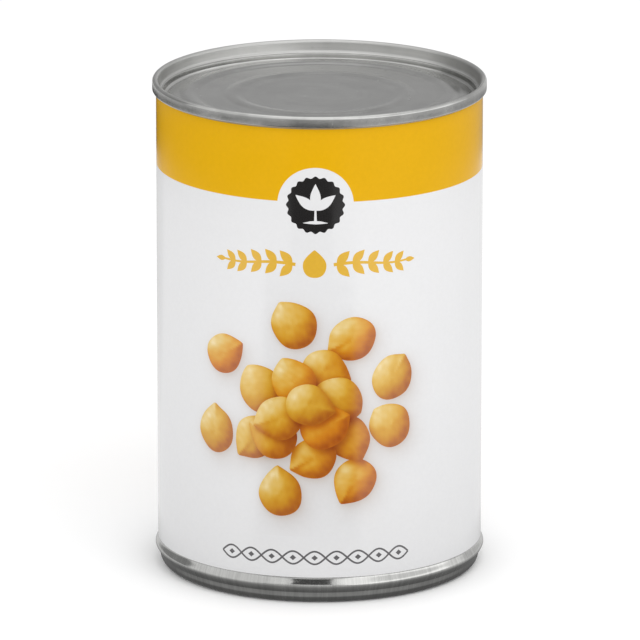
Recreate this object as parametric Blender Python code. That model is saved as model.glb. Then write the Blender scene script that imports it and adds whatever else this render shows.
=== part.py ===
"""Shut food can: a drawn steel body, a top end seamed onto it and a paper sleeve label.

Metres, +Z up. The origin is on the can's axis, at the level that the can stands on,
and the front of the label faces -Y.
"""

import math

import bmesh
import bpy

MM = 0.001

# Whole can
CAN_HEIGHT = 114.0 * MM
SEAM_RADIUS = 38.1 * MM
SEGMENTS = 80
SHARP_EDGE_DEG = 35.0
GAP = 0.3 * MM

# Double seam round the top end
SEAM_HEIGHT = 2.65 * MM
SEAM_THICKNESS = 1.3 * MM
SEAM_HOOK_RADIUS = 0.4 * MM

# Top end inside the seam: a tapered wall, a ledge, a groove and the panel
LEDGE_DEPTH = 2.75 * MM
LEDGE_RADIUS = 36.4 * MM
LEDGE_FALL = 0.2 * MM
GROOVE_RADIUS = 35.05 * MM
GROOVE_CORNER = 0.8 * MM
GROOVE_DEPTH = 4.6 * MM
PANEL_DEPTH = 3.7 * MM
PANEL_RADIUS = 33.9 * MM
END_THICKNESS = 0.6 * MM

# Raised rings on the panel: middle radius, half width, height
OUTER_RING = (29.8 * MM, 2.7 * MM, 0.4 * MM)
INNER_RING = (19.8 * MM, 2.4 * MM, 0.26 * MM)

# Body wall and the rolling bead at its foot
WALL_RADIUS = 36.74 * MM
BEAD_RADIUS = 37.8 * MM
BEAD_LEVEL = 4.4 * MM
BEAD_CORNER = 0.6 * MM
FLARE_TOP = 6.3 * MM

# Foot: a tapered heel down to a standing ring, round a shallow recess with a stepped panel
HEEL_SLOPE_DEG = 30.0
FOOT_RADIUS = 34.7 * MM
FOOT_CORNER = 2.0 * MM
FOOT_SIDE = 2.7 * MM
FOOT_TAPER = 0.2 * MM
FOOT_WIDTH = 1.3 * MM
INNER_CORNER = 0.7 * MM
RECESS_DEPTH = 3.0 * MM
RECESS_CORNER = 0.8 * MM
BASE_RING = (22.0 * MM, 2.6 * MM, 0.5 * MM)

# Paper sleeve
LABEL_RADIUS = 37.24 * MM
LABEL_THICKNESS = 0.2 * MM
LABEL_BOTTOM = 6.35 * MM

SEAM_BOTTOM = CAN_HEIGHT - SEAM_HEIGHT
LABEL_TOP = SEAM_BOTTOM - GAP
END_UNDERSIDE = CAN_HEIGHT - GROOVE_DEPTH - END_THICKNESS
BODY_TOP = END_UNDERSIDE - GAP


def arc(center, radius, start_deg, end_deg, steps):
    """Points of an arc in the turning plane; 0 degrees is outward and 90 is up."""
    points = []
    for step in range(steps + 1):
        angle = math.radians(start_deg + (end_deg - start_deg) * step / steps)
        r = center[0] + radius * math.cos(angle)
        z = center[1] + radius * math.sin(angle)
        points.append((r, z))
    return points


def eased(start, end, steps, along="z"):
    """Points between two ends that leave and arrive parallel to the r or the z axis."""
    points = []
    for step in range(1, steps):
        t = step / steps
        smooth = t * t * (3.0 - 2.0 * t)
        r_share = smooth if along == "z" else t
        z_share = t if along == "z" else smooth
        r = start[0] + (end[0] - start[0]) * r_share
        z = start[1] + (end[1] - start[1]) * z_share
        points.append((r, z))
    return points


def ring_bump(ring, level, steps):
    """Points over a rounded ring that stands on a level panel, from its outer side in."""
    middle, half_width, height = ring
    points = []
    for step in range(steps + 1):
        across = 1.0 - 2.0 * step / steps
        r = middle + half_width * across
        z = level + height * 0.5 * (1.0 + math.cos(math.pi * across))
        points.append((r, z))
    return points


def body_profile():
    """Outer side of the body from the top edge down, then the underside to the middle."""
    bead_center = (BEAD_RADIUS - BEAD_CORNER, BEAD_LEVEL)
    foot_center = (FOOT_RADIUS, FOOT_CORNER)
    inner_center = (FOOT_RADIUS - FOOT_WIDTH, INNER_CORNER)
    recess_wall = inner_center[0] - INNER_CORNER
    recess_center = (recess_wall - RECESS_CORNER, RECESS_DEPTH - RECESS_CORNER)
    points = [(WALL_RADIUS, BODY_TOP)]
    points += [(WALL_RADIUS, FLARE_TOP)]
    points += eased((WALL_RADIUS, FLARE_TOP), (BEAD_RADIUS, BEAD_LEVEL), 5)
    points += arc(bead_center, BEAD_CORNER, 0.0, -HEEL_SLOPE_DEG, 3)
    points += [(FOOT_RADIUS + FOOT_CORNER + FOOT_TAPER, FOOT_SIDE)]
    points += arc(foot_center, FOOT_CORNER, 0.0, -90.0, 6)
    points += arc(inner_center, INNER_CORNER, -90.0, -180.0, 3)
    points += arc(recess_center, RECESS_CORNER, 0.0, 90.0, 3)
    points += ring_bump(BASE_RING, RECESS_DEPTH, 6)
    return points


def end_profile():
    """Seam from its inner lower corner outward, over the top, then the end to the middle."""
    crest_radius = SEAM_THICKNESS / 2.0
    crest_center = (SEAM_RADIUS - crest_radius, CAN_HEIGHT - crest_radius)
    hook_center = (SEAM_RADIUS - SEAM_HOOK_RADIUS, SEAM_BOTTOM + SEAM_HOOK_RADIUS)
    groove_center = (GROOVE_RADIUS, CAN_HEIGHT - GROOVE_DEPTH + GROOVE_CORNER)
    panel_level = CAN_HEIGHT - PANEL_DEPTH
    groove_bottom = (GROOVE_RADIUS, CAN_HEIGHT - GROOVE_DEPTH)
    panel_edge = (PANEL_RADIUS, panel_level)
    points = [(WALL_RADIUS, END_UNDERSIDE), (WALL_RADIUS, SEAM_BOTTOM)]
    points += arc(hook_center, SEAM_HOOK_RADIUS, -90.0, 0.0, 3)
    points += arc(crest_center, crest_radius, 0.0, 180.0, 8)
    points += [(LEDGE_RADIUS, CAN_HEIGHT - LEDGE_DEPTH)]
    points += [(GROOVE_RADIUS + GROOVE_CORNER, CAN_HEIGHT - LEDGE_DEPTH - LEDGE_FALL)]
    points += arc(groove_center, GROOVE_CORNER, 0.0, -90.0, 4)
    points += eased(groove_bottom, panel_edge, 4, along="r")
    points += [panel_edge]
    points += ring_bump(OUTER_RING, panel_level, 6)
    points += ring_bump(INNER_RING, panel_level, 6)
    return points


def label_profile():
    """Cross section of the sleeve, starting at its outer upper edge."""
    inner_radius = LABEL_RADIUS - LABEL_THICKNESS
    return [
        (LABEL_RADIUS, LABEL_TOP),
        (LABEL_RADIUS, LABEL_BOTTOM),
        (inner_radius, LABEL_BOTTOM),
        (inner_radius, LABEL_TOP),
    ]


def make_material(name, color, metallic, roughness):
    """Principled material in one colour."""
    material = bpy.data.materials.new(name)
    material.use_nodes = True
    shader = material.node_tree.nodes["Principled BSDF"]
    shader.inputs["Base Color"].default_value = (*color, 1.0)
    shader.inputs["Metallic"].default_value = metallic
    shader.inputs["Roughness"].default_value = roughness
    material.diffuse_color = (*color, 1.0)
    return material


def turned(name, profile, material, closed_section):
    """Turn a profile about Z. A closed section makes a sleeve, an open one gets flat caps."""
    mesh = bpy.data.meshes.new(name)
    turn = bmesh.new()
    rings = []
    for r, z in profile:
        ring = []
        for index in range(SEGMENTS):
            angle = math.tau * index / SEGMENTS
            ring.append(turn.verts.new((r * math.cos(angle), r * math.sin(angle), z)))
        rings.append(ring)
    pairs = list(zip(rings, rings[1:]))
    if closed_section:
        pairs.append((rings[-1], rings[0]))
    for first, second in pairs:
        for index in range(SEGMENTS):
            following = (index + 1) % SEGMENTS
            turn.faces.new((first[index], second[index], second[following], first[following]))
    if not closed_section:
        turn.faces.new(rings[0])
        turn.faces.new(rings[-1])
    bmesh.ops.recalc_face_normals(turn, faces=turn.faces)
    turn.to_mesh(mesh)
    turn.free()
    mesh.shade_smooth()
    mesh.set_sharp_from_angle(angle=math.radians(SHARP_EDGE_DEG))
    mesh.materials.append(material)
    part = bpy.data.objects.new(name, mesh)
    bpy.context.scene.collection.objects.link(part)
    return part


def clear_scene():
    """Remove every object that the file opened with."""
    for item in list(bpy.data.objects):
        bpy.data.objects.remove(item, do_unlink=True)


def make_body():
    """Drawn can body with its foot in one piece, solid because the can is shut."""
    steel = make_material("drawn_steel", (0.56, 0.56, 0.55), 1.0, 0.32)
    return turned("can_body", body_profile(), steel, closed_section=False)


def make_top_end():
    """Top end with its seam, inner wall, groove and ringed panel."""
    steel = make_material("end_steel", (0.60, 0.60, 0.59), 1.0, 0.28)
    return turned("top_end", end_profile(), steel, closed_section=False)


def make_label():
    """Paper sleeve round the body wall."""
    paper = make_material("label_paper", (0.86, 0.86, 0.84), 0.0, 0.38)
    return turned("label", label_profile(), paper, closed_section=True)


def main():
    """Build the can's three pieces in place."""
    clear_scene()
    make_body()
    make_top_end()
    make_label()


main()
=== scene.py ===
"""Looks of a shut food can: bright steel body, seamed ringed end and printed paper label."""

import math
from typing import NamedTuple

import bpy
import numpy as np
from bpy.props import FloatProperty, FloatVectorProperty, IntProperty, PointerProperty
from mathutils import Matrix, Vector, geometry, kdtree, noise


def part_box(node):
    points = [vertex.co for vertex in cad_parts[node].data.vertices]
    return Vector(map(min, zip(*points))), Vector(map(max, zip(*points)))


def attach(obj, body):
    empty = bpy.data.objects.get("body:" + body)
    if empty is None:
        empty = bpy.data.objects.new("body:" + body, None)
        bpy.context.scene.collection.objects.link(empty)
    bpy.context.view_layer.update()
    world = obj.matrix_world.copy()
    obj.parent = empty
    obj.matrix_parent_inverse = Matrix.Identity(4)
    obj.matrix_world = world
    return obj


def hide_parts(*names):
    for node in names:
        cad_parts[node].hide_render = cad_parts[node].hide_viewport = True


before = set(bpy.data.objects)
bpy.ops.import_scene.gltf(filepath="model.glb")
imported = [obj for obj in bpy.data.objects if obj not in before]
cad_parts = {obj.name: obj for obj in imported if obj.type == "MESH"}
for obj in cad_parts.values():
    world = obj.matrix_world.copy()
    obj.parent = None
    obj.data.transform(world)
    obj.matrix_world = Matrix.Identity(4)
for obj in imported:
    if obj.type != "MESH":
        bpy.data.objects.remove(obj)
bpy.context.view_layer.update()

bl_info = {
    "name": "Food Can",
    "version": (1, 0, 0),
    "blender": (4, 5, 0),
    "location": "3D View > Sidebar > Food Can",
    "description": "Steel body, seamed end, printed paper label and studio of a food can",
    "category": "Object",
}

MM = 0.001
BODY_LOW, BODY_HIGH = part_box("can_body")
END_LOW, END_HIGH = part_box("top_end")
LABEL_LOW, LABEL_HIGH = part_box("label")
LABEL_RADIUS = LABEL_HIGH.x
CIRCUMFERENCE = math.tau * LABEL_RADIUS
SHARP_EDGE = math.radians(50.0)
TOUCH = 1e-7


def to_linear(value):
    """Linear light of a display value from 0 to 1; also takes arrays."""
    value = np.asarray(value, float)
    return np.where(value <= 0.04045, value / 12.92, ((value + 0.055) / 1.055) ** 2.4)


def shade(red, green, blue):
    """Linear colour of a display colour whose channels run from 0 to 255."""
    return tuple(float(to_linear(channel / 255.0)) for channel in (red, green, blue))


def size(name, description, default):
    """Length property in metres."""
    return FloatProperty(
        name=name, description=description, default=default, unit="LENGTH", precision=5
    )


def tint(name, description, default):
    """Colour property."""
    return FloatVectorProperty(
        name=name, description=description, default=default, subtype="COLOR", min=0.0, max=1.0
    )


def share(name, description, default, top=1.0):
    """Property that runs from 0 to a top value."""
    return FloatProperty(name=name, description=description, default=default, min=0.0, max=top)


def turn(name, description, default):
    """Angle property; the default is in degrees."""
    return FloatProperty(
        name=name, description=description, default=math.radians(default), subtype="ANGLE"
    )


def raised_ring(name, description, default):
    """Sizes of a raised ring: its middle radius, half width and height."""
    return FloatVectorProperty(
        name=name, description=description, default=default, unit="LENGTH", precision=5
    )


class CanSteel(bpy.types.PropertyGroup):
    """Sizes and colours of the body and the seamed end."""

    columns: IntProperty(
        name="Columns", description="Faces round each turned piece", default=320, min=48
    )
    steel: tint("Steel", "Colour of the tinned steel", shade(178, 178, 176))
    bead_level: size("Bead level", "Height of the rolling bead's widest line", 4.4 * MM)
    bead_corner: size("Bead corner", "Radius of the rolling bead", 0.6 * MM)
    flare_top: size("Flare top", "Height at which the wall starts to flare", 6.3 * MM)
    heel_slope: turn("Heel slope", "Slope of the heel from the upright", 30.0)
    heel_fillet: size("Heel fillet", "Radius between the heel and the standing ring's side", 0.6 * MM)
    foot_radius: size("Foot radius", "Middle of the standing ring's outer corner", 34.7 * MM)
    foot_corner: size("Foot corner", "Radius of the standing ring's outer corner", 2.0 * MM)
    foot_side: size("Foot side", "Height of the top of the standing ring's side", 2.7 * MM)
    foot_taper: size("Foot taper", "How far the standing ring's side widens upward", 0.2 * MM)
    foot_width: size("Foot width", "Width of the flat that the can stands on", 1.3 * MM)
    inner_corner: size("Inner corner", "Radius of the standing ring's inner corner", 0.7 * MM)
    recess_depth: size("Recess depth", "Depth of the recess underneath", 3.0 * MM)
    recess_corner: size("Recess corner", "Radius at the top of the recess", 0.8 * MM)
    seam_height: size("Seam height", "Height of the double seam", 2.65 * MM)
    seam_thickness: size("Seam thickness", "Thickness of the double seam", 1.3 * MM)
    hook_radius: size("Hook radius", "Radius of the seam's lower edge", 0.4 * MM)
    ledge_radius: size("Ledge radius", "Radius at the foot of the seam's inner wall", 36.55 * MM)
    ledge_depth: size("Ledge depth", "Depth of that ledge below the rim", 2.85 * MM)
    ledge_fillet: size("Ledge fillet", "Radius between that wall and its ledge", 0.85 * MM)
    nose_radius: size("Nose radius", "Radius of the ledge's inner edge", 35.85 * MM)
    nose_depth: size("Nose depth", "Depth of the ledge's inner edge below the rim", 3.0 * MM)
    nose_fillet: size("Nose fillet", "Radius of the ledge's inner edge in section", 0.12 * MM)
    groove_radius: size("Groove radius", "Middle radius of the groove", 35.05 * MM)
    groove_corner: size("Groove corner", "Radius of the groove's outer side", 0.8 * MM)
    groove_depth: size("Groove depth", "Depth of the groove below the rim", 4.6 * MM)
    panel_radius: size("Panel radius", "Radius at which the flat panel starts", 33.9 * MM)
    panel_depth: size("Panel depth", "Depth of the panel below the rim", 3.7 * MM)
    outer_ring: raised_ring("Outer ring", "Outer ring of the panel", (29.8 * MM, 2.7 * MM, 0.4 * MM))
    inner_ring: raised_ring("Inner ring", "Inner ring of the panel", (19.8 * MM, 2.4 * MM, 0.26 * MM))
    base_ring: raised_ring("Base ring", "Ring underneath", (22.0 * MM, 2.6 * MM, 0.5 * MM))
    unevenness: size("Unevenness", "How far the rolled seam and bead stray", 0.02 * MM)


class CanLabel(bpy.types.PropertyGroup):
    """Sizes and colours of the paper label and its print."""

    paper: tint("Paper", "Colour of the coated paper", shade(222, 222, 223))
    band: tint("Band", "Colour of the band at the top", shade(217, 165, 0))
    badge: tint("Badge", "Colour of the badge", shade(24, 22, 22))
    gold: tint("Gold", "Colour of the garland", shade(216, 170, 44))
    grey: tint("Grey", "Colour of the plait at the foot", shade(78, 76, 78))
    thickness: size("Paper thickness", "Thickness of the paper", 0.1 * MM)
    slack: size("Slack", "Gap between the paper and the wall", 0.04 * MM)
    lap: size("Lap", "Width of the glued lap", 7.5 * MM)
    lap_place: size("Lap place", "Distance of the lap's edge round from the front", 72.8 * MM)
    band_level: size("Band level", "Height of the band's lower edge at the front", 94.2 * MM)
    skew: share("Skew", "Climb of the band's edge for each length round the can", 0.005)
    front: size("Front", "Distance of the print's middle from the front", -1.1 * MM)
    badge_level: size("Badge level", "Height of the badge's middle", 93.5 * MM)
    badge_radius: size("Badge radius", "Radius of the badge", 6.67 * MM)
    halo_radius: size("Halo radius", "Radius of the white disc under the badge", 8.65 * MM)
    garland_level: size("Garland level", "Height of the garland's middle", 79.7 * MM)
    garland_width: size("Garland width", "Width of the garland", 45.6 * MM)
    plait_level: size("Plait level", "Height of the plait's middle", 11.0 * MM)
    plait_width: size("Plait width", "Width of the plait", 44.6 * MM)
    picture_level: size("Picture level", "Height of the picture's middle", 45.0 * MM)
    picture_side: size("Picture side", "Distance of the picture's middle from the print's", -3.4 * MM)
    picture_width: size("Picture width", "Width of the picture's field", 66.0 * MM)
    picture_height: size("Picture height", "Height of the picture's field", 58.0 * MM)
    pea_size: size("Pea size", "Mean length of a pea in the picture", 12.1 * MM)
    heap: IntProperty(name="Heap", description="Peas in the heap", default=11, min=1)
    heap_spread: size("Heap spread", "How far the heap's outermost peas lie from its middle", 13.2 * MM)
    loose: IntProperty(name="Loose", description="Peas round the heap", default=8, min=0, max=10)
    scatter_width: size("Scatter width", "How far sideways loose peas may lie", 24.0 * MM)
    scatter_height: size("Scatter height", "How far up or down loose peas may lie", 20.5 * MM)
    grain: size("Grain", "Mesh size in the picture", 0.45 * MM)
    cell: size("Cell", "Mesh size outside the picture", 1.5 * MM)
    ripple: size("Ripple", "Depth of the faint ripples in the paper", 0.012 * MM)
    ripple_top: size("Ripple top", "Height of the highest ripple", 87.1 * MM)
    ripple_step: size("Ripple step", "Distance between ripples", 15.3 * MM)


class CanStudio(bpy.types.PropertyGroup):
    """Camera, floor and light."""

    floor: tint("Floor", "Colour of the floor", (0.97, 0.97, 0.97))
    floor_side: size("Floor side", "Length of the floor's sides", 12.0)
    absorbed: share("Absorbed", "Share of the bounced light that the floor near the can keeps", 0.3)
    sky: share("Sky", "Strength of the even light from all sides", 1.03, top=10.0)
    softbox: share("Softbox", "Power in watts of the softbox over the camera's side", 0.7, top=100.0)
    softbox_side: size("Softbox side", "Length of the softbox's sides", 0.35)
    softbox_place: FloatVectorProperty(
        name="Softbox place", description="Where the softbox is", default=(0.12, -0.32, 0.5), unit="LENGTH"
    )
    pitch: turn("Pitch", "How far the camera looks down", 15.187)
    distance: size("Distance", "Distance from the camera to the can's middle", 2008.9 * MM)
    aim: size("Aim", "Height that the camera looks at", 56.78 * MM)
    aside: size("Aside", "How far the camera stands to the right of the can's axis", 0.118 * MM)
    lens: FloatProperty(
        name="Lens", description="Focal length", default=492.8, min=20.0, unit="CAMERA"
    )
    tent: size("Tent radius", "Radius of the tent that the steel mirrors", 1.2)


# Turned shapes


def arc(center, radius, start_deg, end_deg, steps):
    """Points of an arc in the turning plane; 0 degrees is outward and 90 is up."""
    angles = np.radians(np.linspace(start_deg, end_deg, steps + 1))
    return [(center[0] + radius * math.cos(a), center[1] + radius * math.sin(a)) for a in angles]


def eased(start, end, steps, along="z"):
    """Points between two ends that leave and arrive parallel to the r or the z axis."""
    points = []
    for step in range(1, steps):
        t = step / steps
        smooth = t * t * (3.0 - 2.0 * t)
        r_share = smooth if along == "z" else t
        z_share = t if along == "z" else smooth
        r = start[0] + (end[0] - start[0]) * r_share
        z = start[1] + (end[1] - start[1]) * z_share
        points.append((r, z))
    return points


def ring_bump(ring, level, steps):
    """Points over a rounded ring that stands on a level panel, from its outer side in."""
    middle, half_width, height = ring
    across = np.linspace(1.0, -1.0, steps + 1)
    rise = 0.5 * (1.0 + np.cos(math.pi * across))
    return [(middle + half_width * a, level + height * h) for a, h in zip(across, rise)]


def fillet(before, corner, after, radius, steps):
    """Points of the arc that rounds the corner between two straight runs."""
    corner = Vector(corner)
    back = (Vector(before) - corner).normalized()
    ahead = (Vector(after) - corner).normalized()
    half = back.angle(ahead) / 2.0
    center = corner + (back + ahead).normalized() * (radius / math.sin(half))
    first = corner + back * (radius / math.tan(half)) - center
    last = corner + ahead * (radius / math.tan(half)) - center
    start = math.atan2(first.y, first.x)
    sweep = math.remainder(math.atan2(last.y, last.x) - start, math.tau)
    angles = [start + sweep * step / steps for step in range(steps + 1)]
    return [(center.x + radius * math.cos(a), center.y + radius * math.sin(a)) for a in angles]


def body_path(steel, label):
    """Body outline from the axis at the top, down the outside, to the axis underneath."""
    wall = LABEL_RADIUS - label.thickness - label.slack
    bead_center = (BODY_HIGH.x - steel.bead_corner, steel.bead_level)
    foot_center = (steel.foot_radius, steel.foot_corner)
    side_foot = (steel.foot_radius + steel.foot_corner, steel.foot_corner)
    side_top = (side_foot[0] + steel.foot_taper, steel.foot_side)
    inner_center = (steel.foot_radius - steel.foot_width, steel.inner_corner)
    recess_wall = inner_center[0] - steel.inner_corner
    recess_center = (recess_wall - steel.recess_corner, steel.recess_depth - steel.recess_corner)
    bead = arc(bead_center, steel.bead_corner, 0.0, -math.degrees(steel.heel_slope), 10)
    path = [(0.0, BODY_HIGH.z), (wall, BODY_HIGH.z), (wall, steel.flare_top)]
    path += eased((wall, steel.flare_top), (BODY_HIGH.x, steel.bead_level), 16)
    path += bead
    path += fillet(bead[-1], side_top, side_foot, steel.heel_fillet, 5)
    path += arc(foot_center, steel.foot_corner, 0.0, -90.0, 10)
    path += arc(inner_center, steel.inner_corner, -90.0, -180.0, 10)
    path += arc(recess_center, steel.recess_corner, 0.0, 90.0, 10)
    path += ring_bump(steel.base_ring, steel.recess_depth, 18)
    path += [(steel.base_ring[0] / 2.0, steel.recess_depth), (0.0, steel.recess_depth)]
    return path


def end_path(steel, label):
    """End outline from the axis underneath, over the seam, to the axis on the panel."""
    rim = END_HIGH.z
    skirt = LABEL_RADIUS - label.thickness - label.slack
    seam_bottom = rim - steel.seam_height
    crest_radius = steel.seam_thickness / 2.0
    crest_center = (END_HIGH.x - crest_radius, rim - crest_radius)
    hook_center = (END_HIGH.x - steel.hook_radius, seam_bottom + steel.hook_radius)
    groove_center = (steel.groove_radius, rim - steel.groove_depth + steel.groove_corner)
    groove_bottom = (steel.groove_radius, rim - steel.groove_depth)
    panel = rim - steel.panel_depth
    panel_edge = (steel.panel_radius, panel)
    crest = arc(crest_center, crest_radius, 0.0, 180.0, 24)
    ledge = (steel.ledge_radius, rim - steel.ledge_depth)
    nose = (steel.nose_radius, rim - steel.nose_depth)
    nose_foot = (steel.groove_radius + steel.groove_corner, groove_center[1])
    path = [(0.0, END_LOW.z), (skirt, END_LOW.z), (skirt, seam_bottom)]
    path += arc(hook_center, steel.hook_radius, -90.0, 0.0, 8)
    path += crest
    path += fillet(crest[-1], ledge, nose, steel.ledge_fillet, 12)
    path += fillet(ledge, nose, nose_foot, steel.nose_fillet, 5)
    path += arc(groove_center, steel.groove_corner, 0.0, -90.0, 12)
    path += eased(groove_bottom, panel_edge, 10, along="r")
    path += [panel_edge]
    path += ring_bump(steel.outer_ring, panel, 20)
    path += ring_bump(steel.inner_ring, panel, 20)
    path += [(steel.inner_ring[0] / 2.0, panel), (0.0, panel)]
    return path


# Unevenness of the rolled rings as broad and fine waves: how many to a metre, how much closer
# they lie upward than round the can, and the fine waves' share
BROAD_WAVES, BROAD_SQUEEZE = 45.0, 6.0
FINE_WAVES, FINE_SQUEEZE, FINE_SHARE = 315.0, 2.0, 0.6


def stray(point, amount):
    """A point moved a little along its radius, so that rolled rings aren't quite true."""
    x, y, z = point
    broad = noise.noise(Vector((x, y, z * BROAD_SQUEEZE)) * BROAD_WAVES)
    fine = noise.noise(Vector((x, y, z * FINE_SQUEEZE)) * FINE_WAVES)
    moved = 1.0 + amount * (broad + FINE_SHARE * fine) / math.hypot(x, y)
    return (x * moved, y * moved, z)


def turned(name, path, columns, unevenness):
    """Closed mesh of a path that runs from the axis round to the axis, turned about Z."""
    angles = np.arange(columns) * math.tau / columns
    verts = [(0.0, 0.0, path[0][1]), (0.0, 0.0, path[-1][1])]
    rings = path[1:-1]
    for r, z in rings:
        ring = [(r * math.cos(a), r * math.sin(a), z) for a in angles]
        verts += [stray(point, unevenness) for point in ring]
    faces = []
    for column in range(columns):
        following = (column + 1) % columns
        faces.append((0, 2 + column, 2 + following))
        for row in range(len(rings) - 1):
            upper = 2 + row * columns
            lower = upper + columns
            faces.append((upper + column, lower + column, lower + following, upper + following))
        last = 2 + (len(rings) - 1) * columns
        faces.append((last + column, 1, last + following))
    mesh = bpy.data.meshes.new(name)
    mesh.from_pydata(verts, [], faces)
    mesh.update()
    mesh.shade_smooth()
    mesh.set_sharp_from_angle(angle=SHARP_EDGE)
    return mesh


# Shapes of the print, in metres on the unrolled label


class Pea(NamedTuple):
    """Pea of the picture."""

    x: float
    z: float
    length: float
    beak: float  # direction of the beak
    point: float  # how far the beak stands out, up to 1
    tone: float  # from yellow at 0 to orange at 1
    lumps: float  # where its uneven sides are


def pea_reach(angle, pea):
    """Distance from a pea's middle to its outline, at an angle from its beak."""
    angle = np.remainder(np.asarray(angle) + math.pi, math.tau) - math.pi
    away = np.abs(angle)
    body = 1.0 / np.hypot(np.cos(angle) / (0.455 * pea.length), np.sin(angle) / (0.43 * pea.length))
    beak = 0.21 * np.exp(-((away / 0.2) ** 1.3)) + 0.08 * np.exp(-((away / 0.6) ** 2))
    lumps = 0.018 * np.cos(3.0 * angle + pea.lumps) + 0.012 * np.cos(5.0 * angle - pea.lumps)
    return body * (1.0 + pea.point * beak + lumps)


def pea_outline(pea):
    """Closed outline of a pea."""
    angles = np.linspace(0.0, math.tau, 72, endpoint=False)
    reach = pea_reach(angles - pea.beak, pea)
    return np.column_stack((pea.x + reach * np.cos(angles), pea.z + reach * np.sin(angles)))


def leaf(base, angle, length, width):
    """Closed outline of a leaf that grows from its base along an angle."""
    along = np.linspace(0.0, 1.0, 13)
    half = 0.5 * width * np.sin(math.pi * along**0.85)
    u = np.concatenate((along, along[-2:0:-1])) * length
    v = np.concatenate((half, -half[-2:0:-1]))
    return turned_flat(u, v, base, angle)


def turned_flat(u, v, origin, angle):
    """Flat points turned by an angle and moved to an origin."""
    x = origin[0] + u * math.cos(angle) - v * math.sin(angle)
    z = origin[1] + u * math.sin(angle) + v * math.cos(angle)
    return np.column_stack((x, z))


def strip(points, widths):
    """Closed outline of a stroke along points, with the width at each point."""
    points = np.asarray(points, float)
    ahead = np.gradient(points, axis=0)
    ahead /= np.linalg.norm(ahead, axis=1)[:, None]
    side = np.column_stack((-ahead[:, 1], ahead[:, 0])) * np.asarray(widths)[:, None] / 2.0
    return np.concatenate((points + side, (points - side)[::-1]))


def disc(middle, radius, lobes=0, depth=0.0):
    """Closed outline of a disc, with shallow lobes round its edge if wanted."""
    angles = np.linspace(0.0, math.tau, max(96, lobes * 16), endpoint=False)
    reach = radius * (1.0 - depth * (0.5 - 0.5 * np.cos(angles * lobes)))
    return np.column_stack((middle[0] + reach * np.cos(angles), middle[1] + reach * np.sin(angles)))


def lozenge(middle, width, height):
    """Closed outline of a lozenge."""
    corners = np.array([(0.5, 0.0), (0.0, 0.5), (-0.5, 0.0), (0.0, -0.5)])
    return np.asarray(middle) + corners * (width, height)


def sprout(middle, radius):
    """Three leaves on a short stem over a ground line, inside a badge of that radius."""
    x, z = middle
    fork = (x, z - 0.18 * radius)
    shapes = [leaf(fork, math.radians(90), 0.92 * radius, 0.36 * radius)]
    for side in (1, -1):
        angle = math.radians(90 - side * 52)
        shapes.append(leaf(fork, angle, 0.86 * radius, 0.34 * radius))
    stem = [(x, z - 0.62 * radius), (x, z - 0.4 * radius), (x, z - 0.1 * radius)]
    shapes.append(strip(stem, [0.1 * radius, 0.08 * radius, 0.06 * radius]))
    ground = [(x + radius * t, z - radius * (0.6 + 0.12 * t * t)) for t in (-0.42, -0.2, 0, 0.2, 0.42)]
    shapes.append(strip(ground, [0.01 * radius, 0.09 * radius, 0.12 * radius, 0.09 * radius, 0.01 * radius]))
    return shapes


def garland(middle, width):
    """Two leafy sprigs that spread from a pea with its beak up."""
    x, z = middle
    upright = math.radians(90)
    pea = Pea(x, z - 0.3 * MM, length=6.2 * MM, beak=upright, point=1.0, tone=0.0, lumps=0.0)
    shapes = [pea_outline(pea)]
    start, reach = 4.3 * MM, width / 2.0
    sway = 0.35 * MM
    thick, thin = 0.8 * MM, 0.45 * MM
    pairs, steps = 5, 24
    for side in (1, -1):
        along = np.linspace(start, reach - 1.2 * MM, steps + 1)
        wave = sway * np.sin((along - start) / (reach - start) * math.tau)
        stem = np.column_stack((x + side * along, z + wave))
        shapes.append(strip(stem, np.linspace(thick, thin, steps + 1)))
        for index in range(pairs):
            place = (index + 0.35) / pairs
            point = stem[int(place * steps)]
            length = (4.3 - 1.2 * place) * MM
            for lean in (46, -46):
                angle = math.radians(lean) if side > 0 else math.pi - math.radians(lean)
                shapes.append(leaf(point, angle, length, 0.5 * length))
        tip = 0.0 if side > 0 else math.pi
        shapes.append(leaf(stem[-1] - (side * 0.3 * MM, 0.0), tip, 2.6 * MM, 1.2 * MM))
    return shapes


def plait(middle, width):
    """Two thin strands that cross in even waves, with a lozenge in each eye."""
    x, z = middle
    eyes = 9
    sway, thread = 1.5 * MM, 0.42 * MM
    along = np.linspace(-width / 2.0, width / 2.0, 16 * eyes + 1)
    wave = np.sin((along / width + 0.5) * math.pi * eyes)
    shapes = []
    for side in (1, -1):
        strand = np.column_stack((x + along, z + side * sway * wave))
        shapes.append(strip(strand, np.full(len(strand), thread)))
    for place in (np.arange(eyes) + 0.5) / eyes - 0.5:
        shapes.append(lozenge((x + place * width, z), 1.5 * MM, 1.3 * MM))
    return shapes


# Places tried for the loose peas, and the least distance between their middles in pea lengths
SCATTER_TRIES = 600
SCATTER_GAP = 0.8


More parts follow.
